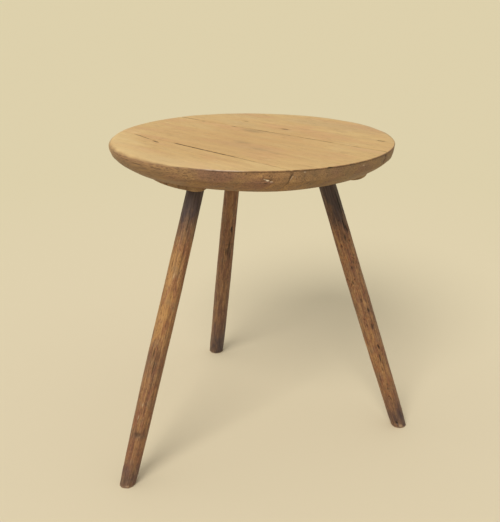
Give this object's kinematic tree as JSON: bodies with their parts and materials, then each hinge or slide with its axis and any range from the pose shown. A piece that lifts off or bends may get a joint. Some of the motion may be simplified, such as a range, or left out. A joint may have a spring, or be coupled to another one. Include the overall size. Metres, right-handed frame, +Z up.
{
  "type": "cricket table",
  "caption": "Round table with a thick boarded top on plain battens and splayed, hand-shaved legs wedged through them.",
  "frame": {"origin": "centre of the bounding box's bottom face, on the surface that the feet stand on", "axes": "+Z up; the long batten runs along Y, and the short batten along +X, towards the right leg"},
  "size_m": [0.677, 0.6514, 0.684],
  "materials": {
    "top_boards": "scrubbed, pale honey, dry, with soft worn arrises",
    "battens": "rough sawn, dark with age",
    "legs": "shaved round, brown, dull wax, darker at the top",
    "hidden_wood": "riven, unfinished",
    "nails": "hand-forged, dark oxide"
  },
  "bodies": {
    "root": {"top_board_front": "top_boards", "top_board_middle": "top_boards", "top_board_rear": "top_boards", "long_batten": "battens", "short_batten": "battens", "leg_left": "legs", "leg_right": "legs", "leg_back": "legs", "wedge_left": "hidden_wood", "wedge_right": "hidden_wood", "wedge_back": "hidden_wood", "front_seam_dowel_1": "hidden_wood", "front_seam_dowel_2": "hidden_wood", "front_seam_dowel_3": "hidden_wood", "rear_seam_dowel_1": "hidden_wood", "rear_seam_dowel_2": "hidden_wood", "rear_seam_dowel_3": "hidden_wood", "long_batten_nail_1": "nails", "long_batten_nail_2": "nails", "long_batten_nail_3": "nails", "long_batten_nail_4": "nails", "long_batten_nail_5": "nails", "long_batten_nail_6": "nails", "short_batten_nail_1": "nails", "short_batten_nail_2": "nails", "short_batten_nail_3": "nails", "short_batten_nail_4": "nails"}
  },
  "joints": []
}
